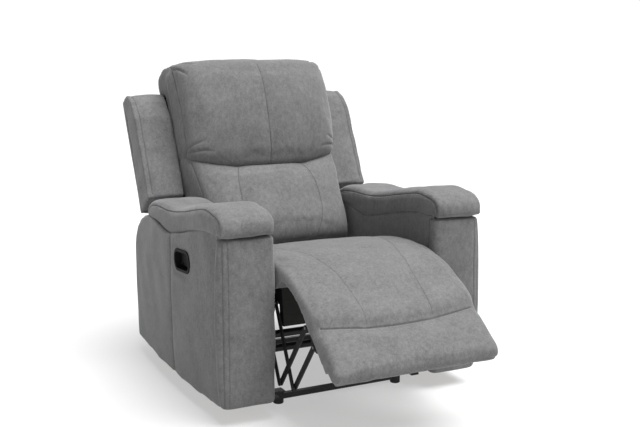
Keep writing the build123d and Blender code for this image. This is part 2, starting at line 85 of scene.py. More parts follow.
CROSS_SEAM_DOWN = 262     # down the footrest, at its middle
CROSS_SEAM_BOW = 26
WING_WRAP = 19            # how far a wing's fabric reaches round behind its board
WING_DROP = 4             # how far it hangs below its board at the rear
WING_OUTER_GROWTH = 9     # how much wider its stuffing makes it at each edge
WING_INNER_GROWTH = 4
WING_CROWN = 5            # how far it swells forwards in its middle
COVER_BOW = 6             # how far the back's outside cover swells out
COVER_DROP = 10           # how far it hangs down behind the arms
COVER_GROWTH = 5          # how much wider it is at each side
ARM_BOTTOM = 52
ARM_FRONT_TOP = 559
ARM_FRONT_BULGE = 9       # forwards; the next two are towards the seat and outwards
ARM_FRONT_INNER_BULGE = 6
ARM_FRONT_OUTER_BULGE = 15
ARM_SIDE_TOP = 540
ARM_SIDE_LENGTH = 862
ARM_SIDE_REAR_SWELL = 9
ARM_SIDE_EDGE_TUCK = 6    # how far the side panel draws in along its top and bottom
BEZEL_MARGIN = 9          # how far around the latch bezel the fabric is held down
BEZEL_FLANGE = 3.4        # how far inside the bezel's face it is held


def chair_point(x, y, z):
    """Row-frame metres from millimetres, with y measured back from the arms' front plane."""
    return np.array([x * MM, ARM_FRONT_Y + y * MM, z * MM])


def back_point(x, forward, up):
    """Row-frame metres from millimetres in the leaning back's own plane, measured from its hinge."""
    y = up * sin(BACK_LEAN) - forward * cos(BACK_LEAN)
    z = up * cos(BACK_LEAN) + forward * sin(BACK_LEAN)
    return BACK_HINGE + np.array([x, y, z]) * MM


def cushion_point(x, forward, up):
    """A back point for the two cushions, whose shared seam rises towards the sides."""
    nearness = max(0, 1 - abs(up - CUSHION_SEAM_UP) / CUSHION_SEAM_BAND)
    return back_point(x, forward, up + CUSHION_SEAM_RISE * nearness * min(1, abs(x) / HALF_HEAD) ** 3)


def footrest_point(x, down, under):
    """Row-frame metres from millimetres down the sloping footrest, measured from its swing centre."""
    y = -down * cos(FOOTREST_SLOPE) + under * sin(FOOTREST_SLOPE)
    z = -down * sin(FOOTREST_SLOPE) - under * cos(FOOTREST_SLOPE)
    return SWING_CENTRE + np.array([x, y, z]) * MM


def footrest_side(down, under):
    """A footrest point as (y, z) millimetres of the side view."""
    point = footrest_point(0, down, under)
    return ((point[1] - ARM_FRONT_Y) / MM, point[2] / MM)


# Directions: out of the back's front and up along it, straight up, and out of the footrest's face.
BACK_AHEAD = np.array([0, -cos(BACK_LEAN), sin(BACK_LEAN)])
BACK_UPWARD = np.array([0, sin(BACK_LEAN), cos(BACK_LEAN)])
BACK_FORWARD = Vector(BACK_AHEAD)
UP = Vector((0, 0, 1))
FOOTREST_OUT = Vector((0, -sin(FOOTREST_SLOPE), cos(FOOTREST_SLOPE)))


def clamped(values):
    return np.clip(values, 0, 1)


# ---- meshes ---------------------------------------------------------------------------------------
def new_object(name, vertices, faces):
    mesh = bpy.data.meshes.new(name)
    mesh.from_pydata([tuple(v) for v in vertices], [], faces)
    piece = bpy.data.objects.new(name, mesh)
    bpy.context.scene.collection.objects.link(piece)
    return piece


def coordinates(piece):
    flat = np.empty(len(piece.data.vertices) * 3)
    piece.data.vertices.foreach_get("co", flat)
    return flat.reshape(-1, 3)


def set_coordinates(piece, points):
    piece.data.vertices.foreach_set("co", np.ascontiguousarray(points, dtype=np.float32).ravel())
    piece.data.update()


def normals(piece):
    flat = np.empty(len(piece.data.vertices) * 3)
    piece.data.vertices.foreach_get("normal", flat)
    return flat.reshape(-1, 3)


def apply_modifiers(piece):
    graph = bpy.context.evaluated_depsgraph_get()
    graph.update()
    finished = bpy.data.meshes.new_from_object(piece.evaluated_get(graph))
    piece.modifiers.clear()
    piece.data = finished


def remesh(piece, voxel):
    """Rebuilds the piece as an even mesh with faces of one size, in metres."""
    modifier = piece.modifiers.new("remesh", "REMESH")
    modifier.mode = "VOXEL"
    modifier.voxel_size = voxel
    apply_modifiers(piece)


def smooth(piece, rounds):
    modifier = piece.modifiers.new("smooth", "SMOOTH")
    modifier.factor = 0.5
    modifier.iterations = rounds
    apply_modifiers(piece)


def subdivide(piece):
    modifier = piece.modifiers.new("subdivide", "SUBSURF")
    modifier.levels = 1
    modifier.render_levels = 1
    apply_modifiers(piece)


SWELL_FRAMES = 20
SWELL_PRESSURE = 4
SWELL_SMOOTHING = 4


def swell_cloth(piece, most):
    """Blows the piece up as a sewn cloth skin, and keeps the outward part of the move, up to most metres."""
    start = coordinates(piece)
    outward = normals(piece)
    cloth = piece.modifiers.new("cloth", "CLOTH")
    cloth.settings.quality = 4
    cloth.settings.mass = 0.3
    cloth.settings.use_pressure = True
    cloth.settings.uniform_pressure_force = SWELL_PRESSURE
    cloth.settings.effector_weights.gravity = 0
    cloth.collision_settings.use_collision = False
    cloth.point_cache.frame_start = 1
    cloth.point_cache.frame_end = SWELL_FRAMES
    for step in range(1, SWELL_FRAMES + 1):
        bpy.context.scene.frame_set(step)
    apply_modifiers(piece)
    bpy.context.scene.frame_set(1)
    rise = ((coordinates(piece) - start) * outward).sum(1)
    rise = most * np.tanh(np.maximum(rise, 0) / most)
    set_coordinates(piece, start + outward * rise[:, None])
    smooth(piece, SWELL_SMOOTHING)


def curve_between(before, here, after, beyond, shares):
    """Points of a smooth curve from here to after, with the neighbours that it comes from and goes to."""
    return here + 0.5 * shares * (after - before
                                  + shares * (2 * before - 5 * here + 4 * after - beyond
                                              + shares * (3 * here - before - 3 * after + beyond)))


def smooth_loop(points, steps):
    """Points along a smooth closed curve through the given ones."""
    points = np.array(points, float)
    before, after, beyond = (np.roll(points, shift, 0)[:, None, :] for shift in (1, -1, -2))
    shares = (np.arange(steps) / steps)[None, :, None]
    curve = curve_between(before, points[:, None, :], after, beyond, shares)
    return curve.reshape(-1, points.shape[1])


def with_insets(outline):
    """Outline points as (a, b, inset), where a point may leave its inset out."""
    return [tuple(point) + (0,) * (3 - len(point)) for point in outline]


RIBS = 27                 # cross sections of a lofted cushion
CURVE_STEPS = 5           # points from one outline point to the next
END_RINGS = ((0.8, 0.6), (0.4, 0.95))     # size of each ring on a cushion's end, and its share of the bulge


def lofted(name, place, middle, side, x_range, squareness, bulge):
    """A closed cushion between two x positions. Its outline is middle in the centre and side at both
    ends, place(x, a, b) puts an outline point in space, and bulge swells the two ends, in millimetres."""
    middle = smooth_loop(with_insets(middle), CURVE_STEPS)
    side = smooth_loop(with_insets(side), CURVE_STEPS)
    centre_x = (x_range[0] + x_range[1]) / 2
    half = (x_range[1] - x_range[0]) / 2
    vertices = []
    for share in np.sin(np.linspace(-pi / 2, pi / 2, RIBS)):
        fullness = (1 - abs(share) ** squareness) ** (1 / squareness)
        rib = side + fullness * (middle - side)
        vertices += [place(centre_x + share * (half - inset), a, b) for a, b, inset in rib]
    count = len(middle)
    faces = []
    for rib in range(RIBS - 1):
        for corner in range(count):
            after = (corner + 1) % count
            faces.append((rib * count + corner, rib * count + after, (rib + 1) * count + after,
                          (rib + 1) * count + corner))
    middle_point = side.mean(0)
    for end, direction in ((0, -1), (RIBS - 1, 1)):
        ring = list(range(end * count, (end + 1) * count))
        for shrink, rise in END_RINGS:
            inner = middle_point + shrink * (side - middle_point)
            x = centre_x + direction * (half + rise * bulge)
            first = len(vertices)
            vertices += [place(x - direction * inset, a, b) for a, b, inset in inner]
            next_ring = list(range(first, first + count))
            for corner in range(count):
                after = (corner + 1) % count
                faces.append((ring[corner], ring[after], next_ring[after], next_ring[corner]))
            ring = next_ring
        faces.append(tuple(ring))
    piece = new_object(name, vertices, faces)
    face_outwards(piece)
    return piece


def face_outwards(piece):
    """Turns every face of a closed piece to look outwards."""
    mesh = bmesh.new()
    mesh.from_mesh(piece.data)
    bmesh.ops.recalc_face_normals(mesh, faces=mesh.faces)
    mesh.to_mesh(piece.data)
    mesh.free()


WELD_DISTANCE = 0.00001


def softened(name, node, voxel, rounds):
    """A soft piece that starts from a plain solid of the frame, with its edges rolled over."""
    piece = bpy.data.objects.new(name, frame["nodes"][node].data.copy())
    piece.data.materials.clear()
    bpy.context.scene.collection.objects.link(piece)
    mesh = bmesh.new()
    mesh.from_mesh(piece.data)
    bmesh.ops.remove_doubles(mesh, verts=mesh.verts, dist=WELD_DISTANCE)
    mesh.to_mesh(piece.data)
    mesh.free()
    remesh(piece, voxel)
    smooth(piece, rounds)
    return piece


RIPPLE_WAVES = 7


def ripple(points, wavelength, height, seed):
    """Gentle unevenness along the normals, one value per point, in metres."""
    random = np.random.default_rng(seed)
    total = np.zeros(len(points))
    for _ in range(RIPPLE_WAVES):
        direction = random.normal(size=3)
        direction *= 2 * pi / (np.linalg.norm(direction) * wavelength * random.uniform(0.7, 1.5))
        total += np.sin(points @ direction + random.uniform(0, 2 * pi))
    return height * total / RIPPLE_WAVES ** 0.5


def roughen(piece, wavelength, height, seed):
    """Gives a piece the gentle unevenness of stuffed fabric."""
    points = coordinates(piece)
    set_coordinates(piece, points + normals(piece) * ripple(points, wavelength, height, seed)[:, None])


# ---- seams ----------------------------------------------------------------------------------------
GUIDE_STEPS = 12          # points from one guide point to the next
GUIDE_SPACING = 0.004     # of the points that are dropped onto the surface
PATH_SPACING = 0.0015     # of a finished seam's points
REACH = 0.25              # how far from a guide line its surface may be
SEAM_REACH = 0.12         # how far a seam pulls at the cloth around it
REFINE_WIDTHS = 3.2       # how many groove widths beside a seam get finer faces
REFINE_MARGIN = 0.002
SHADE_WIDTH = 0.75        # of a seam's line of painted shade, as a share of the groove's width


def spaced(points, spacing):
    """Points at an even spacing along the smooth open curve through the given ones."""
    points = np.array(points, float)
    if len(points) > 2:
        padded = np.concatenate([[2 * points[0] - points[1]], points, [2 * points[-1] - points[-2]]])
        shares = (np.arange(GUIDE_STEPS) / GUIDE_STEPS)[:, None]
        spans = [curve_between(*padded[first:first + 4], shares) for first in range(len(points) - 1)]
        points = np.concatenate(spans + [points[-1:]])
    steps = np.linalg.norm(np.diff(points, axis=0), axis=1)
    distance = np.concatenate([[0], np.cumsum(steps)])
    samples = np.linspace(0, distance[-1], max(2, int(distance[-1] / spacing) + 1))
    return np.stack([np.interp(samples, distance, points[:, axis]) for axis in range(3)], 1)


def surface_tree(piece):
    mesh = bmesh.new()
    mesh.from_mesh(piece.data)
    tree = BVHTree.FromBMesh(mesh)
    mesh.free()
    return tree


def on_surface(tree, points, direction=None):
    """Moves points to the surface: along -direction from outside, or to the nearest place."""
    placed = []
    for point in points:
        start = Vector(point)
        hit = None
        if direction is not None:
            hit = tree.ray_cast(start + direction * REACH, -direction, 2 * REACH)[0]
        if hit is None:
            hit = tree.find_nearest(start)[0]
        placed.append(hit)
    return np.array(placed)


def path_tree(path):
    tree = KDTree(len(path))
    for index, point in enumerate(path):
        tree.insert(point, index)
    tree.balance()
    return tree


def refine_near(piece, path, reach):
    """Splits the faces beside a path, so that a narrow seam has a clean shape."""
    tree = path_tree(path)
    mesh = bmesh.new()
    mesh.from_mesh(piece.data)
    low, high = path.min(0) - reach, path.max(0) + reach
    near = set()
    for vertex in mesh.verts:
        place = vertex.co
        if all(low[axis] <= place[axis] <= high[axis] for axis in range(3)):
            if tree.find(place)[2] < reach:
                near.add(vertex)
    edges = [edge for edge in mesh.edges if edge.verts[0] in near and edge.verts[1] in near]
    bmesh.ops.subdivide_edges(mesh, edges=edges, cuts=1, use_grid_fill=True)
    mesh.to_mesh(piece.data)
    mesh.free()


def distances(points, path):
    """How far each point is from a path of close points, and which share of the path it is beside."""
    tree = path_tree(path)
    low, high = path.min(0) - SEAM_REACH, path.max(0) + SEAM_REACH
    found = np.full(len(points), 1.0)
    share = np.zeros(len(points))
    for index in np.flatnonzero(((points > low) & (points < high)).all(1)):
        _, nearest, distance = tree.find(points[index])
        found[index] = distance
        share[index] = nearest / max(1, len(path) - 1)
    return found, share


class Seam:
    """A sewn line on a piece: guide points, the direction that it is looked at from, and its shape.

    The groove is a narrow line and the pull a wide hollow around it. Both are depths, the width and the
    spread say how far they reach, and all four are millimetres. The fade is the share of the line over
    which each end runs out, and the stitch sides are the sideways offsets of its rows of thread."""

    # dark is how strongly shade is painted into the fabric along the line, standing in for the shadow in its
    # groove.
    def __init__(self, guide, direction=None, groove=1.9, width=1.8, pull=3.0, spread=20.0, fade=0.0,
                 stitch_sides=(), dark=1.0):
        self.guide = guide
        self.direction = direction
        self.groove = groove * MM
        self.width = width * MM
        self.pull = pull * MM
        self.spread = spread * MM
        self.fade = fade
        self.stitch_sides = stitch_sides
        self.dark = dark


def sew(piece, seams):
    """Presses the seams into the piece, keeps the shade painted along each seam's line, and returns the paths.

    A piece without seams is sewn too, since its fabric reads that painted shade."""
    paths = []
    for seam in seams:
        path = on_surface(surface_tree(piece), spaced(seam.guide, GUIDE_SPACING), seam.direction)
        path = spaced(path, PATH_SPACING)
        paths.append(path)
        if seam.groove:
            refine_near(piece, path, REFINE_WIDTHS * seam.width + REFINE_MARGIN)
    points = coordinates(piece)
    outward = normals(piece)
    move = np.zeros(len(points))
    shade = np.zeros(len(points))
    for seam, path in zip(seams, paths):
        away, share = distances(points, path)
        strength = np.ones(len(points))
        if seam.fade:
            strength = clamped(np.minimum(share, 1 - share) / seam.fade)
        move += strength * seam.groove * np.exp(-(away / seam.width) ** 2)
        move += strength * seam.pull * np.exp(-(away / seam.spread) ** 2)
        # Painted shade: a dark line along the seam, where shadow falls in its groove.
        line = np.exp(-(away / (SHADE_WIDTH * seam.width)) ** 2)
        shade = np.maximum(shade, seam.dark * strength * line)
    set_coordinates(piece, points - outward * move[:, None])
    attribute = piece.data.attributes.new("seam_shade", "FLOAT", "POINT")
    attribute.data.foreach_set("value", shade.astype(np.float32))
    return paths


STITCH_LENGTH = 0.0042
STITCH_PITCH = 0.0062
STITCH_RADIUS = 0.00055
STITCH_LIFT = 0.4         # of its radius, off the cloth
# Each ring's place along the stitch, its radius and how far it is sunk, as shares of the sizes above.
STITCH_RINGS = ((-0.5, 0.35, 0.9), (-0.3, 1, 0), (0.3, 1, 0), (0.5, 0.35, 0.9))
STITCH_SIDES = 6


def stitched(name, piece, paths, offsets):
    """Thread along paths on a piece, one row of short stitches for each sideways offset in metres."""
    tree = surface_tree(piece)
    vertices, faces = [], []
    for path, sideways in zip(paths, offsets):
        for offset in sideways:
            line = spaced(path, STITCH_PITCH)
            ahead = np.gradient(line, axis=0)
            for point, direction in zip(line, ahead):
                place, outward, _, _ = tree.find_nearest(Vector(point))
                along = Vector(direction).normalized()
                across = along.cross(outward).normalized()
                place, outward, _, _ = tree.find_nearest(place + across * offset)
                add_stitch(vertices, faces, place + outward * STITCH_RADIUS * STITCH_LIFT, along, outward)
    return new_object(name, vertices, faces)


def add_stitch(vertices, faces, middle, along, outward):
    """One stitch: a short round bar with tapered ends that dive into the cloth."""
    across = along.cross(outward).normalized()
    sides = STITCH_SIDES
    first = len(vertices)
    for share, radius, sink in STITCH_RINGS:
        ring_middle = middle + along * (share * STITCH_LENGTH) - outward * (sink * STITCH_RADIUS)
        for side in range(sides):
            angle = 2 * pi * side / sides
            spoke = across * cos(angle) + outward * sin(angle)
            vertices.append(ring_middle + spoke * (radius * STITCH_RADIUS))
    last_ring = len(STITCH_RINGS) - 1
    for ring in range(last_ring):
        for side in range(sides):
            after = (side + 1) % sides
            low, high = first + ring * sides, first + (ring + 1) * sides
            faces.append((low + side, low + after, high + after, high + side))
    faces.append(tuple(first + side for side in reversed(range(sides))))
    faces.append(tuple(first + last_ring * sides + side for side in range(sides)))


# ---- materials ------------------------------------------------------------------------------------
def new_material(name):
    material = bpy.data.materials.new(name)
    material.use_nodes = True
    tree = material.node_tree
    return material, tree, tree.nodes["Principled BSDF"]


def add_node(tree, kind, inputs=None, **settings):
    node = tree.nodes.new(kind)
    for name, value in settings.items():
        setattr(node, name, value)
    for name, value in (inputs or {}).items():
        node.inputs[name].default_value = value
    return node


def noise(tree, scale, detail=3.0, roughness=0.55, stretch=None):
    """Noise in the piece's own space, with scale in features per metre, and more or fewer along an axis."""
    place = add_node(tree, "ShaderNodeTexCoord")
    source = place.outputs["Object"]
    if stretch:
        mapping = add_node(tree, "ShaderNodeMapping", {"Scale": stretch})
        tree.links.new(source, mapping.inputs["Vector"])
        source = mapping.outputs["Vector"]
    settings = {"Scale": scale, "Detail": detail, "Roughness": roughness}
    texture = add_node(tree, "ShaderNodeTexNoise", settings)
    tree.links.new(source, texture.inputs["Vector"])
    return texture.outputs["Fac"]


def spread(tree, value, low, high, bottom=0.0, top=1.0):
    """Maps a value from one range to another, with clamping."""
    node = add_node(tree, "ShaderNodeMapRange",
                    {"From Min": low, "From Max": high, "To Min": bottom, "To Max": top})
    tree.links.new(value, node.inputs["Value"])
    return node.outputs["Result"]


def calculate(tree, operation, first, second):
    node = add_node(tree, "ShaderNodeMath", operation=operation)
    for socket, value in zip(node.inputs, (first, second)):
        if isinstance(value, (int, float)):
            socket.default_value = value
        else:
            tree.links.new(value, socket)
    return node.outputs["Value"]


def weighted_sum(tree, *parts):
    """Adds up values, each given with its weight."""
    total = None
    for value, weight in parts:
        weighted = calculate(tree, "MULTIPLY", value, weight)
        total = weighted if total is None else calculate(tree, "ADD", total, weighted)
    return total


def mix_colours(tree, share, first, second):
    """Mixes two colours, each a value from another node or a plain (red, green, blue)."""
    node = add_node(tree, "ShaderNodeMix", data_type="RGBA")
    tree.links.new(share, node.inputs["Factor"])
    colours = [socket for socket in node.inputs if socket.type == "RGBA"]
    for socket, colour in zip(colours, (first, second)):
        if isinstance(colour, tuple):
            socket.default_value = (*colour, 1)
        else:
            tree.links.new(colour, socket)
    return [output for output in node.outputs if output.type == "RGBA"][0]


def bump(tree, shader, height, distance, strength=1.0):
    node = add_node(tree, "ShaderNodeBump", {"Distance": distance, "Strength": strength})
    tree.links.new(height, node.inputs["Height"])
    tree.links.new(node.outputs["Normal"], shader.inputs["Normal"])


FABRIC_DARK = (0.099, 0.099, 0.100)
FABRIC_LIGHT = (0.191, 0.191, 0.193)
# Painted shade along seams and folds: the colour that the fabric is darkened towards there, and how strongly.
SEAM_SHADE_COLOUR = (0.04, 0.04, 0.041)
SEAM_SHADE = 0.6


def fabric_material():
    """Brushed microfibre: cloudy nap marks, soft streaks, a fine grain, a fuzzy sheen and painted seam shade."""
    material, tree, shader = new_material("grey_microfibre")
    clouds = noise(tree, 12, 4, 0.62)
    marks = noise(tree, 85, 4, 0.7, (1, 1, 0.55))
    grain = noise(tree, 210, 3, 0.65)
    nap = weighted_sum(tree, (clouds, 0.24), (marks, 0.38), (grain, 0.38))
    tone = spread(tree, nap, 0.36, 0.64)
    colour = mix_colours(tree, tone, FABRIC_DARK, FABRIC_LIGHT)
    # Painted shade: the seam_shade value darkens the fabric along seams and folds, where shadow falls in the
    # groove.
    seam = add_node(tree, "ShaderNodeAttribute", attribute_name="seam_shade").outputs["Fac"]
    colour = mix_colours(tree, calculate(tree, "MULTIPLY", seam, SEAM_SHADE), colour, SEAM_SHADE_COLOUR)
    tree.links.new(colour, shader.inputs["Base Color"])
    tree.links.new(spread(tree, tone, 0, 1, 0.96, 0.82), shader.inputs["Roughness"])
    shader.inputs["Specular IOR Level"].default_value = 0.25
    shader.inputs["Sheen Weight"].default_value = 0.35
    shader.inputs["Sheen Roughness"].default_value = 0.45
    shader.inputs["Sheen Tint"].default_value = (0.85, 0.85, 0.87, 1)
    weave = weighted_sum(tree, (noise(tree, 900, 2, 0.5), 0.6), (marks, 0.8))
    bump(tree, shader, weave, 0.0012, 0.55)
    return material


def thread_material():
    """Twisted polyester thread, a little darker than the fabric."""
    material, tree, shader = new_material("grey_thread")
    twist = noise(tree, 1600, 1, 0.5)
    tone = spread(tree, twist, 0.35, 0.65)
    colour = mix_colours(tree, tone, (0.055, 0.055, 0.057), (0.12, 0.12, 0.123))
    tree.links.new(colour, shader.inputs["Base Color"])
    shader.inputs["Roughness"].default_value = 0.6
    bump(tree, shader, twist, 0.0002)
    return material


def black_steel_material():
    """Black powder coat, with a slight orange peel and scuffs."""
    material, tree, shader = new_material("black_powder_coat")
    scuffs = spread(tree, noise(tree, 60, 5, 0.65), 0.5, 0.75)
    colour = mix_colours(tree, scuffs, (0.008, 0.008, 0.009), (0.022, 0.022, 0.024))
    tree.links.new(colour, shader.inputs["Base Color"])
    tree.links.new(spread(tree, scuffs, 0, 1, 0.42, 0.62), shader.inputs["Roughness"])
    bump(tree, shader, noise(tree, 700, 2, 0.5), 0.0003, 0.5)
    return material


def plastic_material(name, shine, peel, density):
    """Black moulded plastic. Shine is its lowest roughness, peel the scale of its texture, and density
    the index of refraction, which is low for a dull rubbery skin."""
    material, tree, shader = new_material(name)
    patches = spread(tree, noise(tree, 90, 3), 0.35, 0.7)
    colour = mix_colours(tree, patches, (0.009, 0.009, 0.0095), (0.016, 0.016, 0.017))
    tree.links.new(colour, shader.inputs["Base Color"])
    tree.links.new(spread(tree, patches, 0, 1, shine, shine + 0.1), shader.inputs["Roughness"])
    shader.inputs["IOR"].default_value = density
    bump(tree, shader, noise(tree, peel, 2, 0.5), 0.0002, 0.6)
    return material


def metal_material(name, dark, light, roughness, scale):
    """Bare or plated steel, with fine marks."""
    material, tree, shader = new_material(name)
    marks = noise(tree, scale, 4, 0.6)
    colour = mix_colours(tree, spread(tree, marks, 0.3, 0.7), dark, light)
    tree.links.new(colour, shader.inputs["Base Color"])
    tree.links.new(spread(tree, marks, 0.3, 0.7, roughness, roughness + 0.18), shader.inputs["Roughness"])
    shader.inputs["Metallic"].default_value = 1.0
    bump(tree, shader, marks, 0.0002, 0.4)
    return material


def timber_material(name, dark, light):
    """Sawn frame timber: long grain, growth rings and saw marks."""
    material, tree, shader = new_material(name)
    grain = noise(tree, 18, 6, 0.65, (1, 9, 9))
    fine = noise(tree, 120, 3, 0.6, (1, 12, 12))
    figure = weighted_sum(tree, (grain, 0.7), (fine, 0.3))
    colour = mix_colours(tree, spread(tree, figure, 0.35, 0.65), dark, light)
    tree.links.new(colour, shader.inputs["Base Color"])
    tree.links.new(spread(tree, fine, 0.3, 0.7, 0.72, 0.9), shader.inputs["Roughness"])
    bump(tree, shader, figure, 0.0006, 0.7)
    return material


GLOW_IN_VIEW = 0.46
GLOW_ON_CHAIR = 0.27


def floor_material():
    """A pale floor that glows white towards the camera and less towards the chair."""
    material, tree, shader = new_material("pale_floor")
    seen = add_node(tree, "ShaderNodeLightPath").outputs["Is Camera Ray"]
    glow = spread(tree, seen, 0, 1, GLOW_ON_CHAIR, GLOW_IN_VIEW)
    tree.links.new(glow, shader.inputs["Emission Strength"])
    tone = spread(tree, noise(tree, 2, 2), 0.3, 0.7)
    colour = mix_colours(tree, tone, (0.41, 0.41, 0.41), (0.43, 0.43, 0.43))
    tree.links.new(colour, shader.inputs["Base Color"])
    shader.inputs["Emission Color"].default_value = (1, 1, 1, 1)
    shader.inputs["Roughness"].default_value = 0.9
    shader.inputs["Specular IOR Level"].default_value = 0.1
    return material


FABRIC = fabric_material()
THREAD = thread_material()
SLOT_MATERIALS = {
    "black_steel": black_steel_material(),
    "timber": timber_material("sawn_timber", (0.19, 0.115, 0.062), (0.42, 0.29, 0.17)),
    # stained_timber: near-black timber for frame parts seen through gaps, partly a dark stain and partly painted
    # shade for the shadow in those gaps.
    "stained_timber": timber_material("stained_timber", (0.007, 0.007, 0.007), (0.018, 0.017, 0.016)),
    "spring_steel": metal_material("oiled_spring_steel", (0.10, 0.10, 0.11), (0.26, 0.26, 0.27),
                                   roughness=0.32, scale=200),
    "zinc_steel": metal_material("zinc_plate", (0.42, 0.43, 0.45), (0.62, 0.63, 0.64),
                                 roughness=0.28, scale=160),
    "glide_plastic": plastic_material("black_glide_plastic", shine=0.45, peel=500, density=1.45),
    "latch_plastic": plastic_material("black_latch_plastic", shine=0.50, peel=900, density=1.15),
}


def paint(piece, material):
    piece.data.materials.clear()
    piece.data.materials.append(material)


def paint_frame():
    """Every hard piece of the frame stays, in its slot's material."""
    for row in frame["record"]["subparts"]:
        material = SLOT_MATERIALS.get(row["material_slot"], FABRIC)
        paint(frame["nodes"][row["node"]], material)


# ---- upholstery -----------------------------------------------------------------------------------
def shade_smooth(piece):
    piece.data.polygons.foreach_set("use_smooth", [True] * len(piece.data.polygons))


def add_soft(piece, body, nodes):
    """Finishes a padded piece: its material, the body that it moves with and the nodes it stands for."""
    shade_smooth(piece)
    paint(piece, FABRIC)
    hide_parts(*nodes)
    if body:
        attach(piece, body)


def add_thread(name, piece, seams, paths, body):
    """The visible stitching of a piece, beside or on those of its seams that have stitch sides."""
    sewn = [(path, seam) for seam, path in zip(seams, paths) if seam.stitch_sides]
    offsets = [[side * MM for side in seam.stitch_sides] for _, seam in sewn]
    thread = stitched(name, piece, [path for path, _ in sewn], offsets)
    shade_smooth(thread)
    paint(thread, THREAD)
    if body:
        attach(thread, body)
    return thread


def chaise_outlines():
    """Side views of the seat and chaise pad, in its middle and at its two ends."""
    middle = [(470, 410), (440, 428), (405, 437), (330, 455), (250, 470), (190, 479), (130, 484), (80, 485),
              (37, 482), (-5, 474), (-50, 464), (-95, 446), (-135, 424)]
    side = [(466, 394), (438, 402), (405, 413), (330, 434), (250, 449), (190, 457), (130, 462), (80, 464),
            (37, 461), (-5, 454), (-50, 443), (-95, 427), (-135, 406)]
    down_middle = [(155, -4), (205, -10), (245, -10), (275, -8), (310, -10), (350, -7),
                   (382, -2), (FOOTREST_END - 3, 8), (FOOTREST_END, 22)]
    down_side = [(155, 6), (205, 4), (245, 4), (275, 4), (310, 4), (350, 5),
                 (382, 7), (FOOTREST_END - 3, 12), (FOOTREST_END - 1, 22)]
    under = [(FOOTREST_END - 3, 32), (FOOTREST_END - 16, 35), (340, 34), (270, 33), (200, 33), (150, 33)]
    below = [(-100, 411), (-60, 427), (-25, 433), (10, 424), (34, 398), (130, 386), (250, 371), (370, 356),
             (480, 342), (500, 366)]
    middle += [footrest_side(*point) for point in down_middle + under] + below
    side += [footrest_side(*point) for point in down_side + under] + below
    return middle, side


def add_chaise():
    """Seat cushion and footrest pad in one run of fabric, which bends where the footrest hinges."""
    middle, side = chaise_outlines()
    x_range = (-HALF_SEAT - 3, HALF_SEAT + 10)
    piece = lofted("seat_and_chaise_pad", chair_point, middle, side, x_range, squareness=3, bulge=3)
    remesh(piece, voxel=0.007)
    smooth(piece, rounds=3)
    swell_cloth(piece, most=0.005)
    subdivide(piece)
    roughen(piece, wavelength=0.16, height=0.0012, seed=3)
    seams = []
    for hand in (-1, 1):
        top = [chair_point(hand * x, y, 480) for x, y in ((214, 400), (203, 300), (190, 200), (173, 120),
                                                          (150, 40), (132, -40), (120, -110))]
        lower = [footrest_point(hand * x, down, 0) for x, down in ((113, 160), (110, 210), (109, 258))]
        # The +x seam gets the stronger painted shade and the thread; the -x seam gets a weaker painted shade and
        # no thread.
        dark, stitch_sides = (0.8, (4,)) if hand > 0 else (0.45, ())
        seams.append(Seam(top + lower, UP, groove=1.5, pull=3.5, spread=26, dark=dark,
                          stitch_sides=stitch_sides))
    cross = [footrest_point(x, CROSS_SEAM_DOWN - CROSS_SEAM_BOW * (x / HALF_SEAT) ** 2, 0)
             for x in range(-256, 257, 32)]
    seams.append(Seam(cross, FOOTREST_OUT, groove=3, width=3, pull=13, spread=24))
    edge = [footrest_point(x, FOOTREST_END, 20) for x in range(-244, 245, 61)]
    seams.append(Seam(edge, groove=1.5, pull=1, dark=0.7))
    paths = sew(piece, seams)
    add_soft(piece, None, ["seat_cushion", "footrest_pad"])
    thread = add_thread("chaise_stitching", piece, seams, paths, None)
    for part in (piece, thread):
        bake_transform(part)


def add_footrest_strip():
    """The narrow padded strip that hems the footrest's end below its pad."""
    end = FOOTREST_END - 2
    outline = [(end - 13, 22), (end - 3, 22), (end + 1, 29), (end, 38), (end - 5, 43), (end - 12, 40),
               (end - 14, 30)]
    x_range = (-HALF_SEAT + 8, HALF_SEAT + 2)
    piece = lofted("footrest_end_strip", footrest_point, outline, outline, x_range, squareness=2, bulge=2)
    remesh(piece, voxel=0.003)
    smooth(piece, rounds=3)
    roughen(piece, wavelength=0.05, height=0.0008, seed=7)
    sew(piece, [])
    add_soft(piece, "footrest", ["footrest_pad"])


def add_head_cushion():
    """The head cushion, which folds back over the top of the back, with gathered corners."""
    middle = [(-36, 340), (40, 337), (112, 337), (139, 374), (156, 426), (170, 480), (180, 545), (184, 600),
              (181, 655), (168, 700), (136, 728), (84, 745), (20, 751), (-45, 747), (-90, 734), (-104, 702),
              (-96, 684), (-50, 680), (-36, 650), (-36, 500)]
    side = [(-36, 396), (18, 390, 2), (46, 392, 5), (62, 412, 5), (72, 446, 5), (80, 490, 5), (85, 545, 5),
            (84, 600, 5), (78, 655, 5), (70, 700, 5), (54, 735, 5), (24, 757, 3), (-14, 768, 1), (-52, 771),
            (-94, 763), (-108, 724), (-98, 686), (-50, 678), (-38, 650), (-36, 500)]
    x_range = (-HALF_HEAD - 5, HALF_HEAD + 5)
    piece = lofted("head_cushion_cover", cushion_point, middle, side, x_range, squareness=2.7, bulge=3)
    remesh(piece, voxel=0.006)
    smooth(piece, rounds=3)
    swell_cloth(piece, most=0.005)
    subdivide(piece)
    roughen(piece, wavelength=0.13, height=0.0012, seed=11)
    centre = [back_point(0, 150, up) for up in (340, 420, 500, 600, 700)]
    seams = [Seam(centre, BACK_FORWARD, pull=4, spread=26, stitch_sides=(4,))]
    for hand in (-1, 1):
        edge = [back_point(hand * (HALF_HEAD - 3), forward, up) for forward, up in
                ((46, 400), (70, 440), (80, 490), (85, 545), (84, 600), (78, 655), (68, 702), (46, 740),
                 (8, 764))]
        seams.append(Seam(edge, groove=2.4, pull=3, spread=14))
        seams += gathers(hand)
    paths = sew(piece, seams)
    add_soft(piece, "back", ["head_cushion"])
    add_thread("head_cushion_stitching", piece, seams, paths, "back")


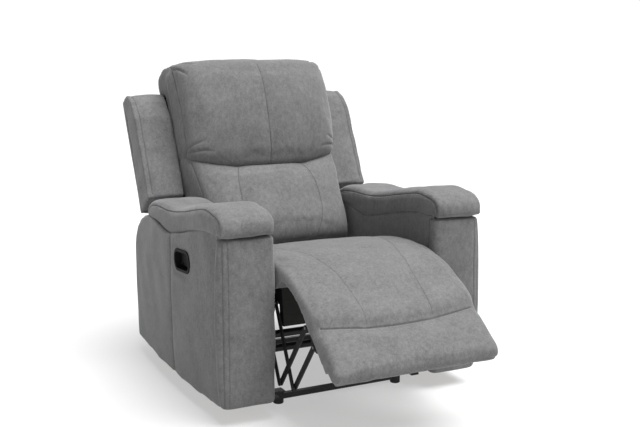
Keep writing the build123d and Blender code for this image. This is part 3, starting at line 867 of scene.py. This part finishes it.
def gathers(hand):
    """Folds that run in from the head cushion's upper and lower corners, each to an (x, forward, up)
    with its depth."""
    upper = (HALF_HEAD, 40, 742)
    upper_ends = ((206, 60, 762, 9), (200, 106, 742, 9), (214, 124, 704, 8), (236, 112, 660, 5))
    lower = (HALF_HEAD - 3, 50, 412)
    lower_ends = ((196, 112, 396, 5), (220, 118, 436, 4))
    arch = back_point(0, 16, 4) - back_point(0, 0, 0)
    folds = []
    for corner, ends in ((upper, upper_ends), (lower, lower_ends)):
        start = back_point(hand * corner[0], corner[1], corner[2])
        for x, forward, up, depth in ends:
            end = back_point(hand * x, forward, up)
            line = [start, (start + end) / 2 + arch, end]
            # Each fold is a hollow without a groove, with shade painted along its line.
            folds.append(Seam(line, groove=0, pull=depth, spread=5, fade=0.3, dark=0.5))
    return folds


def add_lumbar_cushion():
    """The lumbar cushion, with two curved seams."""
    middle = [(-36, 40), (60, 38), (134, 46), (160, 70), (169, 106), (167, 150), (160, 190), (153, 230),
              (144, 268), (134, 302), (121, 326), (96, 338), (40, 341), (-36, 341), (-36, 290), (-36, 240),
              (-36, 190)]
    side = [(-36, 46), (26, 46, -3), (52, 52), (67, 76, 2), (73, 110, 3), (77, 150, 3), (78, 190, 3),
            (77, 230, 2), (74, 268, -2), (69, 310, -8), (61, 352, -11), (49, 382, -16), (22, 396, -23),
            (-36, 394, -26), (-36, 300, -26), (-36, 240), (-36, 190)]
    x_range = (-HALF_LUMBAR - 3, HALF_LUMBAR + 3)
    piece = lofted("lumbar_cushion_cover", cushion_point, middle, side, x_range, squareness=2.6, bulge=4)
    remesh(piece, voxel=0.006)
    smooth(piece, rounds=3)
    swell_cloth(piece, most=0.004)
    subdivide(piece)
    roughen(piece, wavelength=0.12, height=0.0012, seed=21)
    seams = []
    for hand in (-1, 1):
        line = [back_point(hand * x, 150, up) for x, up in ((126, 330), (138, 296), (146, 250), (148, 190),
                                                            (140, 130), (124, 84), (112, 54))]
        seams.append(Seam(line, BACK_FORWARD, pull=4, spread=24, stitch_sides=(4 * hand,)))
        edge = [back_point(hand * (HALF_LUMBAR + wide), forward, up) for wide, forward, up in
                ((17, 66, 374), (14, 78, 330), (8, 88, 280), (0, 94, 230), (0, 94, 190), (0, 92, 150),
                 (0, 88, 110), (0, 80, 76))]
        seams.append(Seam(edge, groove=1.8, pull=1.5, spread=10, dark=0.5))
    paths = sew(piece, seams)
    add_soft(piece, "back", ["lumbar_cushion"])
    add_thread("lumbar_cushion_stitching", piece, seams, paths, "back")


def add_wing(side_name, hand):
    """One side wing of the back, which wraps its board from front to rear."""
    node = "wing_pad_" + side_name
    piece = softened("wing_" + side_name, node, voxel=0.006, rounds=8)
    points = coordinates(piece)
    forward = (points - BACK_HINGE) @ BACK_AHEAD / MM
    rear = clamped((-50 - forward) / 34)
    points -= np.outer(rear * WING_WRAP * MM, BACK_AHEAD)
    up = (points - BACK_HINGE) @ BACK_UPWARD / MM
    low_rear = clamped((340 - up) / 60) * clamped(-forward / 60)
    points -= np.outer(low_rear * WING_DROP * MM, BACK_UPWARD)
    outward = abs(points[:, 0]) / MM
    widen = WING_OUTER_GROWTH * clamped((outward - 340) / 60)
    widen += WING_INNER_GROWTH * clamped((330 - outward) / 30)
    points[:, 0] += hand * widen * MM
    set_coordinates(piece, points)
    subdivide(piece)
    across = (abs(coordinates(piece)[:, 0]) / MM - HALF_HEAD) / (HALF_BACK - HALF_HEAD)
    swell = clamped(np.sin(clamped(across) * pi)) * WING_CROWN * MM
    facing = clamped(normals(piece) @ BACK_AHEAD)
    set_coordinates(piece, coordinates(piece) + np.outer(swell * facing, BACK_AHEAD))
    roughen(piece, wavelength=0.10, height=0.0014, seed=31 + hand)
    x = hand * (HALF_BACK - 9)
    line = [back_point(x, forward, up) for forward, up in
            ((2, 288), (2, 350), (2, 430), (2, 520), (1, 580), (-14, 625), (-30, 655), (-54, 684),
             (-96, 690))]
    seams = [Seam(line, groove=1.6, pull=2, spread=12, dark=0.7, stitch_sides=(-5 * hand,))]
    paths = sew(piece, seams)
    add_soft(piece, "back", [node])
    add_thread("wing_stitching_" + side_name, piece, seams, paths, "back")


def add_rear_cover():
    """The outside back panel, with a welted edge and two long seams."""
    piece = softened("rear_cover_panel", "rear_cover", voxel=0.006, rounds=6)
    subdivide(piece)
    points = coordinates(piece)
    up = (points - BACK_HINGE) @ BACK_UPWARD / MM
    across = abs(points[:, 0]) / MM
    facing = clamped(normals(piece) @ -BACK_AHEAD)
    middle = clamped(1 - (across / HALF_BACK) ** 4) * clamped((700 - up) / 60)
    points += np.outer(facing * middle * COVER_BOW * MM, -BACK_AHEAD)
    low_ends = clamped((across - 270) / 12) * clamped((350 - up) / 70)
    points -= np.outer(low_ends * COVER_DROP * MM, BACK_UPWARD)
    outer_edge = clamped((across - 380) / 30)
    points[:, 0] += np.sign(points[:, 0]) * outer_edge * COVER_GROWTH * MM
    set_coordinates(piece, points)
    roughen(piece, wavelength=0.2, height=0.0012, seed=41)
    seams = []
    behind = -135
    rearwards = -BACK_FORWARD
    for hand in (-1, 1):
        line = [back_point(hand * 236, behind, up) for up in (0, 150, 300, 450, 600, 680)]
        seams.append(Seam(line, rearwards, pull=2.5, spread=18, stitch_sides=(4 * hand,)))
        edge = [back_point(hand * (HALF_BACK - 6), behind, up) for up in (254, 400, 540, 676)]
        seams.append(Seam(edge, rearwards, groove=1.2, pull=1, spread=8, stitch_sides=(0,)))
    hem = [back_point(x, behind, 8) for x in range(-250, 251, 50)]
    seams.append(Seam(hem, rearwards, groove=1, pull=0.5, spread=8, stitch_sides=(0,)))
    top = [back_point(x, behind, 676) for x in range(-405, 406, 45)]
    seams.append(Seam(top, rearwards, groove=1.2, pull=1, spread=8, stitch_sides=(0,)))
    paths = sew(piece, seams)
    add_soft(piece, "back", ["rear_cover"])
    add_thread("rear_cover_stitching", piece, seams, paths, "back")


def add_arm_pad(side_name, hand):
    """The wavy pillow on an arm, which rolls over the arm's front."""
    crest = [(-14, 574), (-16, 592), (-6, 614), (28, 630), (80, 638), (130, 640), (190, 632), (260, 619),
             (340, 603), (410, 592), (470, 591), (530, 593), (590, 590), (642, 580), (674, 562), (686, 540)]
    border = [(0, 574), (0, 590), (8, 608), (30, 621), (80, 630), (120, 632), (180, 622), (245, 609),
              (330, 593), (410, 582), (470, 579), (530, 580), (585, 577), (630, 569), (664, 554), (676, 538)]
    bottom = [(668, 521), (630, 524), (599, 526), (530, 514), (464, 506), (410, 508), (356, 518), (280, 536),
              (200, 553), (139, 564), (70, 569), (20, 569), (0, 563)]
    x_range = sorted((hand * PAD_INNER, hand * (PAD_OUTER + 4)))
    piece = lofted("arm_pillow_" + side_name, chair_point, crest + bottom, border + bottom, x_range,
                   squareness=3.6, bulge=6)
    remesh(piece, voxel=0.006)
    smooth(piece, rounds=3)
    swell_cloth(piece, most=0.004)
    subdivide(piece)
    roughen(piece, wavelength=0.09, height=0.0012, seed=51 + hand)
    seams = []
    for x, outer_side in ((PAD_OUTER - 2, 1), (PAD_INNER + 4, -1)):
        line = [chair_point(hand * x, y, z - 5) for y, z in border[1:-1]]
        seams.append(Seam(line, groove=2, pull=2, spread=10, stitch_sides=(4 * outer_side * hand,)))
    paths = sew(piece, seams)
    add_soft(piece, "base", ["arm_pad_" + side_name])
    add_thread("arm_pillow_stitching_" + side_name, piece, seams, paths, "base")


def add_arm_front(side_name, hand):
    """The padded sock on an arm's front, with top-stitching along its outer edge."""
    node = "arm_front_panel_" + side_name
    piece = softened("arm_front_" + side_name, node, voxel=0.005, rounds=14)
    points = coordinates(piece)
    height = (points[:, 2] / MM - ARM_BOTTOM) / (ARM_FRONT_TOP - ARM_BOTTOM)
    across = (abs(points[:, 0]) / MM - ARM_INNER) / (ARM_OUTER - ARM_INNER)
    facing_front = clamped(-normals(piece)[:, 1])
    facing_in = clamped(-hand * normals(piece)[:, 0])
    facing_out = clamped(hand * normals(piece)[:, 0])
    full_height = clamped(np.sin(pi * clamped(height))) ** 0.5
    full_width = clamped(np.sin(pi * clamped(across))) ** 0.7
    points[:, 1] -= facing_front * full_height * full_width * ARM_FRONT_BULGE * MM
    points[:, 0] -= hand * facing_in * full_height * ARM_FRONT_INNER_BULGE * MM
    points[:, 0] += hand * facing_out * full_height * ARM_FRONT_OUTER_BULGE * MM
    set_coordinates(piece, points)
    subdivide(piece)
    roughen(piece, wavelength=0.12, height=0.0012, seed=61 + hand)
    seams = []
    for x, y, groove in ((ARM_OUTER - 3, 4, 1.6), (ARM_OUTER - 18, -4, 0.9)):
        line = [chair_point(hand * x, y, z) for z in (60, 150, 300, 450, 552)]
        seams.append(Seam(line, groove=groove, pull=1, spread=7, dark=0.7, stitch_sides=(0,)))
    paths = sew(piece, seams)
    add_soft(piece, "base", [node])
    add_thread("arm_front_stitching_" + side_name, piece, seams, paths, "base")


def add_arm_side(side_name, hand):
    """The outer side of an arm: a wide swelling panel with one upright seam."""
    node = "arm_side_panel_" + side_name
    piece = softened("arm_side_" + side_name, node, voxel=0.005, rounds=8)
    points = coordinates(piece)
    height = (points[:, 2] / MM - ARM_BOTTOM) / (ARM_SIDE_TOP - ARM_BOTTOM)
    facing_out = clamped(hand * normals(piece)[:, 0])
    tuck = (2 * clamped(height) - 1) ** 4
    rearward = clamped((points[:, 1] - ARM_FRONT_Y) / MM / ARM_SIDE_LENGTH)
    swell = ARM_SIDE_REAR_SWELL * rearward ** 2 - ARM_SIDE_EDGE_TUCK * tuck
    points[:, 0] += hand * facing_out * swell * MM
    set_coordinates(piece, points)
    roughen(piece, wavelength=0.15, height=0.0012, seed=71 + hand)
    if side_name == "right":
        tuck_under_latch(piece)
    line = [chair_point(hand * 460, y, z) for y, z in ((404, 56), (405, 200), (406, 360), (408, 508))]
    seams = [Seam(line, Vector((hand, 0, 0)), groove=2.6, width=2.4, pull=2.5, spread=16,
                  stitch_sides=(4 * hand,))]
    paths = sew(piece, seams)
    add_soft(piece, "base", [node])
    add_thread("arm_side_stitching_" + side_name, piece, seams, paths, "base")


def tuck_under_latch(piece):
    """Holds the side's fabric down under the edge of the latch bezel."""
    low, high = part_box("latch_bezel")
    margin = BEZEL_MARGIN * MM
    blend_width = 0.3
    points = coordinates(piece)
    across_y = (points[:, 1] - (low.y + high.y) / 2) / ((high.y - low.y) / 2 + margin)
    across_z = (points[:, 2] - (low.z + high.z) / 2) / ((high.z - low.z) / 2 + margin)
    away = (across_y ** 4 + across_z ** 4) ** 0.25
    held = clamped((1 + blend_width - away) / blend_width)
    held = held * held * (3 - 2 * held)
    pressed = np.maximum(points[:, 0], low.x + BEZEL_FLANGE * MM)
    points[:, 0] += held * (pressed - points[:, 0])
    set_coordinates(piece, points)


def add_arm_lining(side_name, hand):
    """The inner and rear panels of an arm."""
    for part, voxel, seed in (("inner", 0.005, 81), ("rear", 0.004, 91)):
        node = f"arm_{part}_panel_{side_name}"
        piece = softened(f"arm_{part}_lining_{side_name}", node, voxel, rounds=3)
        roughen(piece, wavelength=0.14, height=0.0008, seed=seed + hand)
        sew(piece, [])
        add_soft(piece, "base", [node])


# ---- studio ---------------------------------------------------------------------------------------
def add_floor():
    size = 9
    corners = [(-size, -size, 0), (size, -size, 0), (size, size, 0), (-size, size, 0)]
    floor = new_object("studio_floor", corners, [(0, 1, 2, 3)])
    paint(floor, floor_material())


def add_sun(name, direction, strength, angle):
    """A soft light that comes from a direction, with its apparent size in degrees."""
    data = bpy.data.lights.new(name, "SUN")
    data.energy = strength
    data.angle = radians(angle)
    lamp = bpy.data.objects.new(name, data)
    bpy.context.scene.collection.objects.link(lamp)
    lamp.rotation_euler = Vector(direction).to_track_quat("Z", "Y").to_euler()


def add_studio():
    """A white wall behind the chair, dark elsewhere, one large soft light overhead and two fill lights."""
    world = bpy.data.worlds.new("studio")
    bpy.context.scene.world = world
    world.use_nodes = True
    tree = world.node_tree
    place = add_node(tree, "ShaderNodeTexCoord")
    towards_wall = add_node(tree, "ShaderNodeVectorMath", operation="DOT_PRODUCT")
    towards_wall.inputs[1].default_value = (0.45, 0.89, 0)
    tree.links.new(place.outputs["Generated"], towards_wall.inputs[0])
    brightness = spread(tree, towards_wall.outputs["Value"], 0.5, 0.88, 0.05, 1.08)
    tree.links.new(brightness, tree.nodes["Background"].inputs["Strength"])
    tree.nodes["Background"].inputs["Color"].default_value = (1, 1, 1, 1)
    add_sun("overhead_softbox", (0.27, -0.22, 0.94), 5.3, 50)
    add_sun("front_fill", (-0.15, -0.97, 0.20), 1.0, 80)
    add_sun("left_fill", (-0.93, -0.25, 0.28), 0.5, 60)
    bpy.context.scene.view_settings.view_transform = "Standard"


def add_camera():
    data = bpy.data.cameras.new("camera")
    data.lens = 56.14
    data.sensor_width = 36
    camera = bpy.data.objects.new("camera", data)
    bpy.context.scene.collection.objects.link(camera)
    camera.location = chair_point(-1440, -2582, 1118)
    camera.rotation_euler = (radians(80.1), 0, radians(-26.9))
    bpy.context.scene.camera = camera


add_camera()
add_floor()
add_studio()
paint_frame()
add_chaise()
add_footrest_strip()
add_head_cushion()
add_lumbar_cushion()
add_rear_cover()
for side_name, hand in (("left", 1), ("right", -1)):
    add_wing(side_name, hand)
    add_arm_pad(side_name, hand)
    add_arm_front(side_name, hand)
    add_arm_side(side_name, hand)
    add_arm_lining(side_name, hand)
